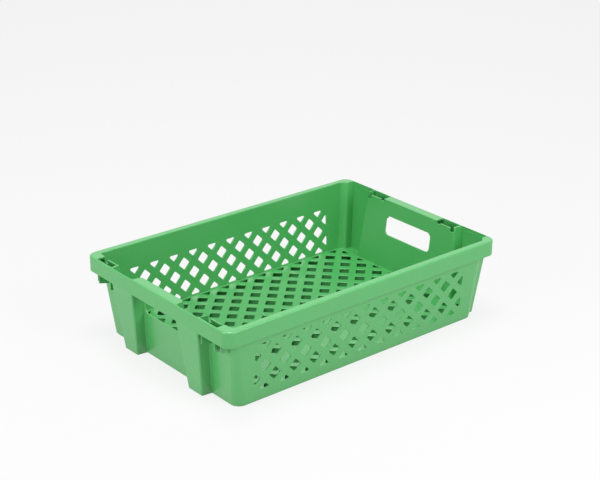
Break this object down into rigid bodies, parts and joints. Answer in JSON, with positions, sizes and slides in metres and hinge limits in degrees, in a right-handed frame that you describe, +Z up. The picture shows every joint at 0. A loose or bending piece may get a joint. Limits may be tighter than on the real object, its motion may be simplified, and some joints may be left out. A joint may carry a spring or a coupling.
{
  "type": "stacking vegetable crate",
  "caption": "Low rectangular green plastic crate for vegetables, with lattice long walls and floor, hand-holes in the ends, and hollow corner columns that stack or nest.",
  "frame": {"origin": "middle of the bottom, in the plane that the crate stands on", "axes": "+X along the crate, from the end with the close columns (left) to the end with the corner columns (right); +Y across it, from front to rear; +Z up"},
  "size_m": [0.6, 0.4, 0.15],
  "materials": {
    "green_plastic": "moulded, satin, light green"
  },
  "bodies": {
    "root": {"floor_grid": "green_plastic", "end_panel_left": "green_plastic", "end_rim_left": "green_plastic", "end_panel_right": "green_plastic", "end_rim_right": "green_plastic", "long_wall_front": "green_plastic", "long_rim_front": "green_plastic", "column_left_front": "green_plastic", "foot_left_front": "green_plastic", "corner_left_front": "green_plastic", "slot_bay_right_front": "green_plastic", "corner_column_right_front": "green_plastic", "foot_right_front": "green_plastic", "long_wall_rear": "green_plastic", "long_rim_rear": "green_plastic", "column_left_rear": "green_plastic", "foot_left_rear": "green_plastic", "corner_left_rear": "green_plastic", "slot_bay_right_rear": "green_plastic", "corner_column_right_rear": "green_plastic", "foot_right_rear": "green_plastic"}
  },
  "joints": []
}
